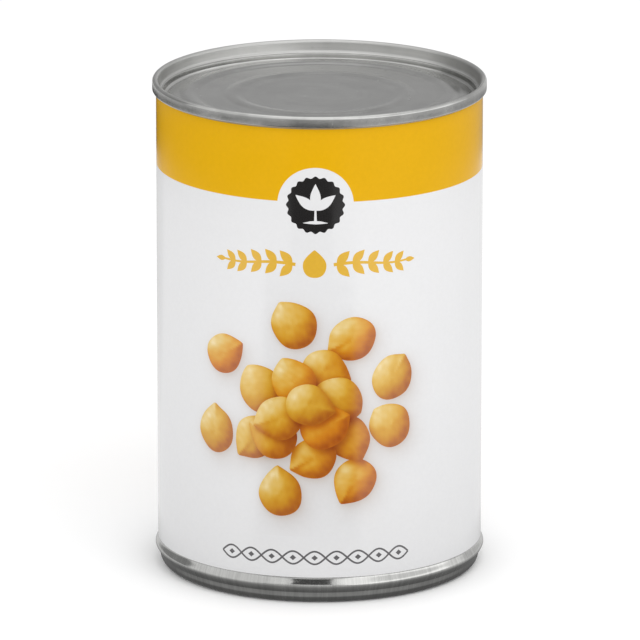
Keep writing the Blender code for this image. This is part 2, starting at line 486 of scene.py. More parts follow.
def pea_layout(label, middle, seed):
    """Peas of a picture, the lowest ones first: loose ones scattered round a heap."""
    draw = np.random.default_rng(seed)
    golden = math.pi * (3.0 - math.sqrt(5.0))
    first = draw.uniform(0.0, math.tau)
    heap, loose = [], []

    def pea(x, z, length, beak):
        return Pea(
            x=middle[0] + x,
            z=middle[1] + z,
            length=label.pea_size * length,
            beak=beak,
            point=draw.uniform(0.3, 1.0),
            tone=draw.uniform(0.0, 1.0),
            lumps=draw.uniform(0.0, math.tau),
        )

    for index in range(label.heap):
        angle = index * golden + first + draw.uniform(-0.25, 0.25)
        reach = label.heap_spread * math.sqrt((index + draw.uniform(0.1, 0.7)) / label.heap)
        x, z = reach * math.cos(angle), reach * math.sin(angle)
        heap.append(pea(x, z, draw.uniform(0.92, 1.06), angle + draw.uniform(-1.5, 1.5)))
    for _ in range(SCATTER_TRIES):
        angle, reach = draw.uniform(0.0, math.tau), draw.uniform(0.75, 1.0)
        x = reach * label.scatter_width * math.cos(angle)
        z = reach * label.scatter_height * math.sin(angle)
        spot = (middle[0] + x, middle[1] + z)
        nearest = min(math.dist(spot, (other.x, other.z)) for other in heap + loose)
        if len(loose) < label.loose and nearest > SCATTER_GAP * label.pea_size:
            loose.append(pea(x, z, draw.uniform(0.86, 1.0), draw.uniform(0.0, math.tau)))
    return loose + heap[::-1]


# Colours of the picture

PEA_LEVELS = (0.0, 0.12, 0.26, 0.42, 0.6, 0.78, 0.92, 1.0)
PEA_COLORS = (
    (132, 50, 4),
    (156, 76, 8),
    (180, 104, 10),
    (197, 129, 14),
    (207, 150, 36),
    (216, 174, 80),
    (223, 194, 124),
    (234, 214, 166),
)

# Direction that the light on the peas comes from, as its parts rightward, upward and out of the
# paper; it comes from the upper left
PEA_LIGHT = (-0.56, 0.6, 0.57)


class Shadow(NamedTuple):
    """Soft shadow that the pictured peas throw."""

    offset: tuple  # from the pea that throws it
    softness: float  # width of its edge
    depth: float  # share of the light that it takes


PEA_SHADOW = Shadow((0.7 * MM, -0.8 * MM), 0.55 * MM, 0.8)
NEAR_SHADOW = Shadow((0.3 * MM, -0.5 * MM), 0.4 * MM, 0.4)
WIDE_SHADOW = Shadow((1.5 * MM, -1.9 * MM), 1.4 * MM, 0.22)


def polar(points, pea):
    """Distance and angle of flat points, from a pea's middle and its beak."""
    u, v = points[..., 0] - pea.x, points[..., 1] - pea.z
    return np.hypot(u, v), np.arctan2(v, u) - pea.beak


def pea_height(points, pea):
    """Height of a pea over the paper at flat points, 0 outside its outline."""
    away, angle = polar(points, pea)
    out = away / pea_reach(angle, pea)
    dome = 0.43 * pea.length * np.sqrt(np.clip(1.0 - out**2.3, 0.0, 1.0))
    across = away * np.sin(angle) / pea.length
    along = np.clip(away * np.cos(angle) / (0.4 * pea.length), 0.0, 1.0)
    valley = np.exp(-(((across - 0.05) / 0.09) ** 2)) * along * (1.0 - 0.6 * along)
    cheeks = 0.03 * np.cos(3.0 * angle + pea.lumps) * out
    return dome * (1.0 - 0.16 * pea.point * valley + cheeks)


def pea_skin(points, pea):
    """Faint light and dark patches of a pea's skin, from waves in scattered directions."""
    tone = np.zeros(points.shape[:-1])
    for index in range(7):
        angle = pea.lumps + 2.4 * index
        wavelength = (3.6 - 0.38 * index) * MM
        along = (points[..., 0] * math.cos(angle) + points[..., 1] * math.sin(angle)) / wavelength
        tone += 0.012 * np.sin(math.tau * along + 5.0 * angle)
    return tone


def shaded(points, peas, shadow):
    """Share of light that the shadow of peas takes from flat points."""
    light = np.ones(points.shape[:-1])
    for pea in peas:
        away, angle = polar(points - np.asarray(shadow.offset), pea)
        apart = (away - pea_reach(angle, pea)) / shadow.softness
        light *= 1.0 - shadow.depth / (1.0 + np.exp(np.clip(apart, -30.0, 30.0)))
    return 1.0 - light


def pea_color(points, pea, above):
    """Linear colour of flat points on a pea, darkened where the peas above it shade it."""
    step = 0.012 * pea.length
    right = pea_height(points + (step, 0.0), pea) - pea_height(points - (step, 0.0), pea)
    up = pea_height(points + (0.0, step), pea) - pea_height(points - (0.0, step), pea)
    normal = np.stack((-right / (2 * step), -up / (2 * step), np.ones(right.shape)), axis=-1)
    normal /= np.linalg.norm(normal, axis=-1)[..., None]
    facing = normal @ np.array(PEA_LIGHT)
    level = 0.04 + 0.92 * np.clip(0.42 + 0.58 * facing, 0.0, 1.0) ** 1.5
    level += 0.3 * np.clip(-facing, 0.0, 1.0) * (1.0 - normal[..., 2])
    level += pea_skin(points, pea)
    dark = shaded(points, above, PEA_SHADOW)
    level *= 1.0 - 0.9 * dark
    colors = np.array(PEA_COLORS) / 255.0
    display = np.stack([np.interp(level, PEA_LEVELS, colors[:, c]) for c in range(3)], axis=-1)
    middle = np.clip(1.0 - np.abs(level - 0.45) / 0.45, 0.0, 1.0)[..., None]
    display += middle * (pea.tone - 0.5) * np.array((0.03, -0.06, -0.06))
    color = to_linear(np.clip(display, 0.0, 1.0))
    return color * (1.0 - 0.45 * dark[..., None] * np.array((0.6, 0.9, 1.0)))


def field_color(points, peas, paper):
    """Linear colour of the paper round the peas, with their soft shadows."""
    near = shaded(points, peas, NEAR_SHADOW)[..., None]
    wide = shaded(points, peas, WIDE_SHADOW)[..., None]
    light = (1.0 - near * np.array((0.3, 0.5, 0.66))) * (1.0 - wide * np.array((0.7, 0.88, 1.0)))
    return np.array(paper) * light


# Label sheet

PAPER, BAND, PICTURE, BADGE, GOLD, GREY = range(6)

# Seeds of the pictures on the front and the back
PICTURE_SEEDS = (11, 4)

# Glued lap: the length over which it rises, and the glue's thickness
LAP_RISE = 3.0 * MM
GLUE = 0.02 * MM

# Faint ripples in the paper: how many, half their width, and how far and how slowly they wander
RIPPLES = 5
RIPPLE_WIDTH = 1.3 * MM
RIPPLE_WANDER = 0.4 * MM
RIPPLE_LENGTH = 21.0 * MM


def print_shapes(label):
    """Prints, lowest first, as (outline, ink, pea index); all peas; each picture's span of peas."""
    start, end = sheet_span(label)
    top = LABEL_HIGH.z
    edge = [(s, label.band_level - label.skew * s) for s in (start, end)]
    shapes = [(np.array([edge[0], edge[1], (end, top), (start, top)]), BAND, -1)]
    peas = []
    pictures = []
    for turn_index, seed in enumerate(PICTURE_SEEDS):
        x = label.front - turn_index * CIRCUMFERENCE / 2.0
        field = (x + label.picture_side, label.picture_level)
        half = np.array((label.picture_width, label.picture_height)) / 2.0
        corners = np.array([(-1, -1), (1, -1), (1, 1), (-1, 1)])
        shapes.append((np.asarray(field) + corners * half, PICTURE, -1))
        laid = pea_layout(label, field, seed)
        for index, pea in enumerate(laid):
            shapes.append((pea_outline(pea), PICTURE, len(peas) + index))
        pictures.append((len(peas), len(peas) + len(laid)))
        peas += laid
        badge = (x + 0.2 * MM, label.badge_level)
        shapes.append((disc(badge, label.halo_radius), PAPER, -1))
        shapes.append((disc(badge, label.badge_radius, lobes=20, depth=0.07), BADGE, -1))
        shapes += [(outline, PAPER, -1) for outline in sprout(badge, label.badge_radius)]
        shapes += [(outline, GOLD, -1) for outline in garland((x, label.garland_level), label.garland_width)]
        shapes += [(outline, GREY, -1) for outline in plait((x, label.plait_level), label.plait_width)]
    return shapes, peas, pictures


def sheet_span(label):
    """First and last place of the sheet round the can; the lap makes it longer than one turn."""
    return label.lap_place - CIRCUMFERENCE - label.lap, label.lap_place


def even_steps(start, end, step):
    """Evenly spaced places from start to end, about a step apart."""
    return np.linspace(start, end, max(2, round((end - start) / step) + 1))


def divided(outline, step):
    """Closed outline with points added, so that no side is much longer than a step."""
    points = []
    for here, following in zip(outline, np.roll(outline, -1, axis=0)):
        parts = max(1, round(math.dist(here, following) / step))
        points += [here + (following - here) * part / parts for part in range(parts)]
    return points


def inside(points, outline):
    """Which flat points are inside a closed outline."""
    found = np.zeros(len(points), bool)
    low, high = outline.min(0), outline.max(0)
    near = np.flatnonzero(np.all((points >= low) & (points <= high), axis=1))
    x, z = points[near, 0], points[near, 1]
    odd = np.zeros(len(near), bool)
    for (x0, z0), (x1, z1) in zip(outline, np.roll(outline, -1, axis=0)):
        if z0 == z1:
            continue
        crosses = (z0 > z) != (z1 > z)
        odd ^= crosses & (x < (x1 - x0) * (z - z0) / (z1 - z0) + x0)
    found[near] = odd
    return found


def sheet_points(label, shapes):
    """Mesh points of the sheet: its border, its grid and the outlines, and the edges to keep."""
    start, end = sheet_span(label)
    bottom, top = LABEL_LOW.z, LABEL_HIGH.z
    columns = even_steps(start, end, label.cell)
    rows = even_steps(bottom, top, label.cell)
    border = [(s, bottom) for s in columns] + [(end, z) for z in rows[1:]]
    border += [(s, top) for s in columns[-2::-1]] + [(start, z) for z in rows[-2:0:-1]]
    points = list(border)
    edges = [(index, (index + 1) % len(border)) for index in range(len(border))]
    outlines = [divided(outline, label.cell) for outline, _, _ in shapes]
    tree = kdtree.KDTree(sum(len(outline) for outline in outlines))
    for outline in outlines:
        first = len(points)
        for x, z in outline:
            tree.insert((x, z, 0.0), len(points))
            points.append((x, z))
        edges += [(first + i, first + (i + 1) % len(outline)) for i in range(len(outline))]
    tree.balance()
    coarse = np.array([(s, z) for s in columns[1:-1] for z in rows[1:-1]])
    fields = [outline for outline, ink, pea in shapes if ink == PICTURE and pea < 0]
    for outline in fields:
        low, high = outline.min(0), outline.max(0)
        outside = np.any((coarse < low - 0.4 * label.cell) | (coarse > high + 0.4 * label.cell), axis=1)
        coarse = coarse[outside]
    sets = [(coarse, 0.3 * MM)]
    for outline in fields:
        low, high = outline.min(0), outline.max(0)
        across = even_steps(low[0], high[0], label.grain)
        upward = even_steps(low[1], high[1], label.grain)
        sets.append((np.array([(s, z) for s in across for z in upward]), 0.4 * label.grain))
    for grid, clearance in sets:
        for s, z in grid:
            if tree.find((s, z, 0.0))[2] > clearance:
                points.append((s, z))
    return points, edges


def sheet_radius(s, z, label):
    """Radius of the sheet's outer face, with the raised lap and faint ripples."""
    _, end = sheet_span(label)
    rise = np.clip((s - end + label.lap + LAP_RISE) / LAP_RISE, 0.0, 1.0)
    lap = (label.thickness + GLUE) * rise * rise * (3.0 - 2.0 * rise)
    ripples = np.zeros(np.shape(z))
    for index in range(RIPPLES):
        level = label.ripple_top - index * label.ripple_step
        wander = RIPPLE_WANDER * np.sin(s / RIPPLE_LENGTH + 2.0 * index)
        ripples += np.exp(-(((z - level - wander) / RIPPLE_WIDTH) ** 2))
    return LABEL_RADIUS + lap - label.ripple * ripples


def wrapped(s, z, radius):
    """Places in space of flat points wrapped round the can."""
    angle = s / LABEL_RADIUS
    return np.stack((radius * np.sin(angle), -radius * np.cos(angle), z), axis=-1)


def sheet_normals(s, z, label):
    """Outward directions of the sheet's outer face."""
    step = 0.05 * MM
    over_s = (sheet_radius(s + step, z, label) - sheet_radius(s - step, z, label)) / (2 * step)
    over_z = (sheet_radius(s, z + step, label) - sheet_radius(s, z - step, label)) / (2 * step)
    angle = s / LABEL_RADIUS
    out = np.stack((np.sin(angle), -np.cos(angle), np.zeros(len(s))), axis=-1)
    along = np.stack((np.cos(angle), np.sin(angle), np.zeros(len(s))), axis=-1)
    normals = out - over_s[:, None] * along - over_z[:, None] * np.array((0.0, 0.0, 1.0))
    return normals / np.linalg.norm(normals, axis=1)[:, None]


def flat_sheet(label, shapes):
    """Flat points and triangles of the sheet, and the ink and the pea of each triangle."""
    points, edges = sheet_points(label, shapes)
    flat, _, faces, *_ = geometry.delaunay_2d_cdt([Vector(p) for p in points], edges, [], 0, 1e-9)
    flat = np.array([tuple(p) for p in flat])
    faces = np.array([tuple(f) for f in faces])
    corners = flat[faces]
    one, two = corners[:, 1] - corners[:, 0], corners[:, 2] - corners[:, 0]
    area = one[:, 0] * two[:, 1] - one[:, 1] * two[:, 0]
    faces[area < 0] = faces[area < 0][:, ::-1]
    faces = faces[np.abs(area) > 1e-14]
    middles = flat[faces].mean(axis=1)
    inks = np.zeros(len(faces), int)
    owners = np.full(len(faces), -1)
    for outline, ink, pea in shapes:
        within = inside(middles, outline)
        inks[within] = ink
        owners[within] = pea
    return flat, faces, inks, owners


def sheet_backing(flat, radius, label):
    """Inner points along the sheet's rims, and the faces that close the sheet behind its print."""
    s, z = flat[:, 0], flat[:, 1]
    start, end = sheet_span(label)
    bottom = np.flatnonzero(z < LABEL_LOW.z + TOUCH)
    top = np.flatnonzero(z > LABEL_HIGH.z - TOUCH)
    bottom, top = bottom[np.argsort(s[bottom])], top[np.argsort(s[top])]
    if len(bottom) != len(top):
        raise RuntimeError("the label's top and bottom edges don't have the same columns")
    left = np.flatnonzero(s < start + TOUCH)
    right = np.flatnonzero(s > end - TOUCH)
    left, right = left[np.argsort(z[left])], right[np.argsort(-z[right])]
    rim = np.concatenate((bottom, top))
    inner = wrapped(s[rim], z[rim], radius[rim] - label.thickness)
    low = len(flat) + np.arange(len(bottom))
    high = low + len(bottom)
    polygons = []
    for i in range(len(bottom) - 1):
        polygons.append((bottom[i], low[i], low[i + 1], bottom[i + 1]))
        polygons.append((top[i], top[i + 1], high[i + 1], high[i]))
        polygons.append((low[i], high[i], high[i + 1], low[i + 1]))
    polygons.append((*left, high[0], low[0]))
    polygons.append((*right, low[-1], high[-1]))
    return inner, polygons


def picture_colors(sheet, loops, peas, pictures, label):
    """Colour at each face corner of the sheet: the picture's in its fields, the paper's elsewhere."""
    flat, faces, inks, owners = sheet
    places = flat[faces]
    colors = np.ones((loops, 4), np.float32)
    colors[:, :3] = label.paper

    def paint(chosen, coloring, *details):
        rows = (chosen[:, None] * 3 + np.arange(3)).ravel()
        colors[rows, :3] = coloring(places[chosen].reshape(-1, 2), *details)

    for first, last in pictures:
        for index in range(first, last):
            paint(np.flatnonzero(owners == index), pea_color, peas[index], peas[index + 1:last])
        middle = np.mean([pea.x for pea in peas[first:last]])
        bare = np.flatnonzero((inks == PICTURE) & (owners < 0))
        bare = bare[np.abs(places[bare, :, 0].mean(axis=1) - middle) < label.picture_width]
        paint(bare, field_color, peas[first:last], label.paper)
    return colors


def label_mesh(name, label):
    """Closed sheet wrapped round the can, with a face set for each ink and the picture's colours."""
    shapes, peas, pictures = print_shapes(label)
    sheet = flat_sheet(label, shapes)
    flat, faces, inks, _ = sheet
    s, z = flat[:, 0], flat[:, 1]
    radius = sheet_radius(s, z, label)
    inner, backing = sheet_backing(flat, radius, label)
    points = np.concatenate((wrapped(s, z, radius), inner))
    mesh = bpy.data.meshes.new(name)
    mesh.from_pydata(points.tolist(), [], [tuple(face) for face in faces.tolist()] + backing)
    mesh.update()
    face_inks = np.concatenate((inks, np.full(len(backing), PAPER)))
    mesh.polygons.foreach_set("material_index", face_inks)
    mesh.shade_smooth()
    normals = np.zeros((len(mesh.loops), 3), np.float32)
    normals[: 3 * len(faces)] = sheet_normals(s, z, label)[faces.ravel()]
    for polygon in mesh.polygons[len(faces):]:
        normals[list(polygon.loop_indices)] = polygon.normal
    mesh.normals_split_custom_set(normals.tolist())
    colors = picture_colors(sheet, len(mesh.loops), peas, pictures, label)
    attribute = mesh.color_attributes.new("picture", "FLOAT_COLOR", "CORNER")
    attribute.data.foreach_set("color", colors.ravel())
    return mesh


# Shader groups and materials


def node(tree, kind, **values):
    """New node in a tree, with plain settings and input values by name."""
    made = tree.nodes.new(kind)
    for name, value in values.items():
        if name in made.inputs:
            made.inputs[name].default_value = value
        else:
            setattr(made, name, value)
    return made


def math_node(tree, operation, first, second):
    """Math node whose two inputs are sockets or numbers."""
    made = node(tree, "ShaderNodeMath", operation=operation)
    for slot_index, value in enumerate((first, second)):
        if isinstance(value, (int, float)):
            made.inputs[slot_index].default_value = value
        else:
            tree.links.new(value, made.inputs[slot_index])
    return made.outputs[0]


def plus(tree, first, second):
    """Sum of two values."""
    return math_node(tree, "ADD", first, second)


def times(tree, first, second):
    """Product of two values."""
    return math_node(tree, "MULTIPLY", first, second)


def spread(tree, value, amount):
    """Noise value made to run from minus to plus an amount."""
    return remap(tree, value, 0.3, 0.7, -amount, amount)


def remap(tree, value, low, high, to_low, to_high):
    """Value taken from one range to another, held at the ends."""
    made = node(tree, "ShaderNodeMapRange")
    for index, number in enumerate((low, high, to_low, to_high), start=1):
        made.inputs[index].default_value = number
    tree.links.new(value, made.inputs[0])
    return made.outputs[0]


def speckle(tree, place, scale, detail=3.0, roughness=0.55):
    """Noise value at a place."""
    made = node(tree, "ShaderNodeTexNoise")
    made.inputs["Scale"].default_value = scale
    made.inputs["Detail"].default_value = detail
    made.inputs["Roughness"].default_value = roughness
    tree.links.new(place, made.inputs["Vector"])
    return made.outputs["Fac"]


def scaled(tree, color, factor):
    """Colour times a value that changes over the surface."""
    made = node(tree, "ShaderNodeMix", data_type="RGBA", blend_type="MULTIPLY")
    made.inputs[0].default_value = 1.0
    tree.links.new(color, made.inputs[6])
    tree.links.new(factor, made.inputs[7])
    return made.outputs[2]


def surface_group(name, inputs):
    """Empty group that gives colour, roughness and height; returns it with its two end nodes."""
    tree = bpy.data.node_groups.new(name, "ShaderNodeTree")
    for socket_name, default in inputs.items():
        kind = "NodeSocketFloat" if isinstance(default, float) else "NodeSocketColor"
        socket = tree.interface.new_socket(socket_name, in_out="INPUT", socket_type=kind)
        socket.default_value = default
    for socket_name, kind in (("Color", "Color"), ("Roughness", "Float"), ("Height", "Float")):
        tree.interface.new_socket(socket_name, in_out="OUTPUT", socket_type="NodeSocket" + kind)
    return tree, tree.nodes.new("NodeGroupInput"), tree.nodes.new("NodeGroupOutput")


def rubbed_steel_group():
    """Tinned steel: turned lines, soft blotches, fine rub marks and small dull spots."""
    found = bpy.data.node_groups.get("Rubbed Steel")
    if found:
        return found
    inputs = {"Steel": (0.5, 0.5, 0.5, 1.0), "Gloss": 0.25, "Lines": 1.0, "Blotches": 1.0, "Draws": 0.0}
    tree, source, sink = surface_group("Rubbed Steel", inputs)
    place = node(tree, "ShaderNodeTexCoord").outputs["Object"]
    split = node(tree, "ShaderNodeSeparateXYZ")
    tree.links.new(place, split.inputs[0])
    x, y, z = split.outputs
    squares = [times(tree, side, side) for side in (x, y)]
    radius = math_node(tree, "SQRT", plus(tree, *squares), 0.0)
    upright = node(tree, "ShaderNodeCombineXYZ")
    tree.links.new(math_node(tree, "DIVIDE", x, radius), upright.inputs[0])
    tree.links.new(math_node(tree, "DIVIDE", y, radius), upright.inputs[1])
    tree.links.new(times(tree, z, 2.0), upright.inputs[2])
    draws = speckle(tree, upright.outputs[0], 55.0, detail=3.0)
    around = node(tree, "ShaderNodeCombineXYZ")
    tree.links.new(times(tree, x, 0.06), around.inputs[0])
    tree.links.new(times(tree, y, 0.06), around.inputs[1])
    tree.links.new(plus(tree, times(tree, radius, 1.7), z), around.inputs[2])
    lines = speckle(tree, around.outputs[0], 5200.0, detail=2.0)
    broad_lines = speckle(tree, around.outputs[0], 900.0, detail=2.0)
    blotch = speckle(tree, place, 140.0, detail=4.0, roughness=0.6)
    cloud = speckle(tree, place, 38.0, detail=2.0)
    rub = speckle(tree, place, 1500.0, detail=2.0)
    spots = remap(tree, speckle(tree, place, 620.0, detail=1.0), 0.7, 0.8, 0.0, 1.0)

    tone = plus(tree, spread(tree, cloud, 0.05), spread(tree, blotch, 0.07))
    tone = times(tree, tone, source.outputs["Blotches"])
    tone = plus(tree, tone, times(tree, spread(tree, broad_lines, 0.03), source.outputs["Lines"]))
    tone = plus(tree, tone, times(tree, spread(tree, draws, 0.1), source.outputs["Draws"]))
    tone = plus(tree, tone, times(tree, spots, -0.08))
    tone = plus(tree, tone, 1.0)
    tree.links.new(scaled(tree, source.outputs["Steel"], tone), sink.inputs["Color"])

    blotch_dull = remap(tree, blotch, 0.3, 0.7, -0.045, 0.06)
    dull = plus(tree, blotch_dull, remap(tree, rub, 0.4, 0.7, 0.0, 0.03))
    dull = plus(tree, dull, times(tree, spots, 0.08))
    tree.links.new(plus(tree, dull, source.outputs["Gloss"]), sink.inputs["Roughness"])

    relief = times(tree, plus(tree, lines, broad_lines), source.outputs["Lines"])
    pits = times(tree, plus(tree, blotch, rub), source.outputs["Blotches"])
    tree.links.new(plus(tree, relief, pits), sink.inputs["Height"])
    return tree


def coated_paper_group():
    """Coated paper under ink: faint fibre clouds, ink mottle, handling marks and fine tooth."""
    found = bpy.data.node_groups.get("Coated Paper")
    if found:
        return found
    inputs = {"Ink": (0.8, 0.8, 0.8, 1.0), "Mottle": 1.0, "Gloss": 0.3}
    tree, source, sink = surface_group("Coated Paper", inputs)
    place = node(tree, "ShaderNodeTexCoord").outputs["Object"]
    cloud = speckle(tree, place, 45.0, detail=3.0)
    fibre = speckle(tree, place, 1100.0, detail=3.0)
    tooth = speckle(tree, place, 3800.0, detail=1.0)
    marks = remap(tree, speckle(tree, place, 260.0, detail=5.0, roughness=0.7), 0.62, 0.74, 0.0, 1.0)
    tone = plus(tree, spread(tree, cloud, 0.006), spread(tree, fibre, 0.012))
    tone = plus(tree, times(tree, tone, source.outputs["Mottle"]), 1.0)
    tone = plus(tree, tone, times(tree, marks, -0.01))
    tree.links.new(scaled(tree, source.outputs["Ink"], tone), sink.inputs["Color"])
    rough = plus(tree, spread(tree, cloud, 0.02), spread(tree, fibre, 0.015))
    rough = plus(tree, rough, times(tree, marks, 0.05))
    tree.links.new(plus(tree, rough, source.outputs["Gloss"]), sink.inputs["Roughness"])
    tree.links.new(plus(tree, fibre, times(tree, tooth, 0.5)), sink.inputs["Height"])
    return tree


def finished_material(name, group, values, metallic, relief, color_source=None, specular=0.5):
    """Material whose colour, roughness and relief come from a shader group."""
    found = bpy.data.materials.get(name)
    if found:
        return found
    material = bpy.data.materials.new(name)
    material.use_nodes = True
    tree = material.node_tree
    shader = tree.nodes["Principled BSDF"]
    shader.inputs["Metallic"].default_value = metallic
    shader.inputs["Specular IOR Level"].default_value = specular
    surface = node(tree, "ShaderNodeGroup", node_tree=group)
    for socket_name, value in values.items():
        surface.inputs[socket_name].default_value = value
    if color_source:
        picture = node(tree, "ShaderNodeVertexColor", layer_name=color_source)
        tree.links.new(picture.outputs["Color"], surface.inputs["Ink"])
    bump = node(tree, "ShaderNodeBump")
    bump.inputs["Strength"].default_value = 1.0
    bump.inputs["Distance"].default_value = relief
    tree.links.new(surface.outputs["Height"], bump.inputs["Height"])
    tree.links.new(surface.outputs["Color"], shader.inputs["Base Color"])
    tree.links.new(surface.outputs["Roughness"], shader.inputs["Roughness"])
    tree.links.new(bump.outputs["Normal"], shader.inputs["Normal"])
    return material


def steel_material(name, steel, gloss, lines, blotches, draws=0.0):
    """Tinned steel with turned lines, and upright draw marks if wanted."""
    values = {"Steel": (*steel.steel, 1.0), "Gloss": gloss, "Lines": lines, "Blotches": blotches}
    values["Draws"] = draws
    return finished_material(name, rubbed_steel_group(), values, 1.0, 0.0015 * MM)


def paper_material(name, color, mottle, gloss, color_source=None, specular=1.0):
    """Coated paper in one ink, or in the colours that its mesh carries."""
    values = {"Ink": (*color, 1.0), "Mottle": mottle, "Gloss": gloss}
    group = coated_paper_group()
    return finished_material(name, group, values, 0.0, 0.0004 * MM, color_source, specular)


# Studio

# Panels of the tent as middle azimuth, half width, lowest and highest elevation, brightness
TENT_PANELS = (
    (180.0, 60.0, -8.0, 37.0, 0.48),
    (-135.0, 36.0, -8.0, 30.0, 0.36),
    (135.0, 34.0, -8.0, 45.0, 0.75),
    (64.0, 54.0, -8.0, 62.0, 1.2),
    (60.0, 40.0, -8.0, 20.0, 1.9),
    (-62.0, 40.0, -8.0, 62.0, 1.08),
    (0.0, 400.0, 41.0, 200.0, 1.15),
    (180.0, 60.0, 41.0, 60.0, 0.85),
    (0.0, 400.0, 62.0, 200.0, 1.55),
    (27.0, 12.0, 20.0, 60.0, 1.7),
    (-30.0, 10.0, 20.0, 60.0, 1.28),
    (-5.0, 20.0, -8.0, 18.0, 0.95),
    (-5.0, 16.0, 22.0, 44.0, 1.6),
)

# Parts of the table that the steel and the paper mirror, as the direction and distance that each
# covers (lowest and highest azimuth in degrees, nearest and farthest in metres) and its brightness
TABLE_PATCHES = (
    (-20.0, 24.0, 0.482, 2.0, 0.5),
    (-37.0, 23.0, 0.1, 0.33, 0.02),
    (-180.0, -140.0, 0.2, 0.398, 0.62),
    (165.0, 180.0, 0.2, 0.398, 0.65),
    (-180.0, 17.0, 0.398, 0.482, 0.02),
    (17.0, 180.0, 0.398, 0.482, 0.3),
)
WHITE_REACH = 0.398

# Distances from the can's axis between which the table's brightness changes evenly
TABLE_RINGS = (0.064, 0.12, 0.25, 0.32, 0.34, 0.39, 0.402, 0.478, 0.486, 0.7)

# Brightness of the table close to the foot, as the distance from the can's axis in millimetres
# and the brightness there
FOOT_SHADE = ((20.0, 0.08), (36.5, 0.15), (38.0, 0.19), (39.2, 0.42), (41.5, 0.45), (60.0, 0.76))

# Brightness of the tent, the near table and the far table where nothing else is stated
TENT_GLOW, NEAR_GLOW, FAR_GLOW = 0.5, 0.85, 0.72

# Widths in degrees of the soft edges of the tent's panels, sideways and upward, and of the patches
PANEL_SIDE, PANEL_RISE, PATCH_SIDE = 6.0, 8.0, 5.0

# Dark card in front of the foot: distance, lowest and highest level, azimuths and brightness
CARD_DISTANCE = 100.0 * MM
CARD_LEVELS = (30.0 * MM, 92.0 * MM)
CARD_AZIMUTHS = (-16.8, 7.6)
CARD_GLOW = 0.12


def between(value, low, high, edge):
    """Mask that is 1 between two values and 0 outside them, with soft edges of a width."""
    return soft_step((value - low) / edge + 0.5) * soft_step((high - value) / edge + 0.5)


def tent_light(azimuth, elevation):
    """Brightness of the tent in a direction; azimuth 0 is the camera's side, 90 is +X."""
    light = TENT_GLOW
    for middle, half_width, low, high, brightness in TENT_PANELS:
        away = abs(math.remainder(azimuth - middle, 360.0))
        mask = soft_step((half_width - away) / PANEL_SIDE + 0.5)
        mask *= between(elevation, low, high, PANEL_RISE)
        light += (brightness - light) * mask
    return light


def table_light(azimuth, distance):
    """Brightness of the table in a direction and at a distance from the can's axis."""
    azimuth = math.remainder(azimuth, 360.0)
    light = NEAR_GLOW if distance < WHITE_REACH else FAR_GLOW
    for first, last, near, far, brightness in TABLE_PATCHES:
        if near <= distance < far:
            mask = between(azimuth, first, last, PATCH_SIDE)
            if first == -180.0 or last == 180.0:
                mask = 1.0 if first <= azimuth <= last else 0.0
            light += (brightness - light) * mask
    return light


def soft_step(value):
    """Smooth climb from 0 to 1 as the value goes from 0 to 1."""
    value = min(1.0, max(0.0, value))
    return value * value * (3.0 - 2.0 * value)


def around(azimuths, radius, z):
    """Points at a radius and a level, at azimuths in degrees from the camera's side."""
    turns = np.radians(azimuths)
    return [(radius * math.sin(a), -radius * math.cos(a), z) for a in turns]


def glowing_mesh(name, verts, faces, lights):
    """Mesh whose point colours hold the brightness at each point."""
    mesh = bpy.data.meshes.new(name)
    mesh.from_pydata(verts, [], faces)
    glow = mesh.color_attributes.new("glow", "FLOAT_COLOR", "POINT")
    colors = np.column_stack((*[lights] * 3, np.ones(len(verts))))
    glow.data.foreach_set("color", colors.ravel())
    return mesh


def tent_mesh(radius):
    """Tent over the can with an inner floor."""
    lift = 0.05 * MM
    columns = 180
    azimuths = [360.0 * column / columns for column in range(columns)]
    rows = [(r * MM, lift, [brightness] * columns) for r, brightness in FOOT_SHADE]
    for r in (*TABLE_RINGS, radius):
        rows.append((r, lift, [table_light(azimuth, r) for azimuth in azimuths]))
    for elevation in range(2, 90, 2):
        a = math.radians(elevation)
        glow = [tent_light(azimuth, elevation) for azimuth in azimuths]
        rows.append((radius * math.cos(a), radius * math.sin(a), glow))
    verts, lights, faces = [], [], []
    for r, z, glow in rows:
        verts += around(azimuths, r, z)
        lights += glow
    for row in range(len(rows) - 1):
        lower, upper = row * columns, (row + 1) * columns
        for column in range(columns):
            following = (column + 1) % columns
            faces.append((lower + column, lower + following, upper + following, upper + column))
    last = (len(rows) - 1) * columns
    faces.append(tuple(last + column for column in range(columns)))
    return glowing_mesh("studio_tent", verts, faces, lights)


def card_mesh():
    """Dark curved card in front of the foot, which the foot mirrors as a dark patch."""
    columns = 13
    azimuths = np.linspace(*CARD_AZIMUTHS, columns)
    verts = [point for level in CARD_LEVELS for point in around(azimuths, CARD_DISTANCE, level)]
    faces = [(i, i + 1, columns + i + 1, columns + i) for i in range(columns - 1)]
    return glowing_mesh("studio_card", verts, faces, [CARD_GLOW] * len(verts))


def glow_material():
    """Plain glow that follows a mesh's point colours."""
    material = bpy.data.materials.new("tent_glow")
    material.use_nodes = True
    tree = material.node_tree
    tree.nodes.remove(tree.nodes["Principled BSDF"])
    glow = node(tree, "ShaderNodeEmission")
    color = node(tree, "ShaderNodeVertexColor", layer_name="glow")
    tree.links.new(color.outputs["Color"], glow.inputs["Color"])
    tree.links.new(glow.outputs[0], tree.nodes["Material Output"].inputs["Surface"])
    material.cycles.emission_sampling = "NONE"
    return material


def placed(name, data):
    """New object in the scene."""
    made = bpy.data.objects.new(name, data)
    bpy.context.scene.collection.objects.link(made)
    return made


def even_light(studio):
    """World that lights everything alike."""
    world = bpy.data.worlds.new("even_light")
    world.use_nodes = True
    background = world.node_tree.nodes["Background"]
    background.inputs["Color"].default_value = (1.0, 1.0, 1.0, 1.0)
    background.inputs["Strength"].default_value = studio.sky
    world.cycles.sampling_method = "NONE"
    bpy.context.scene.world = world


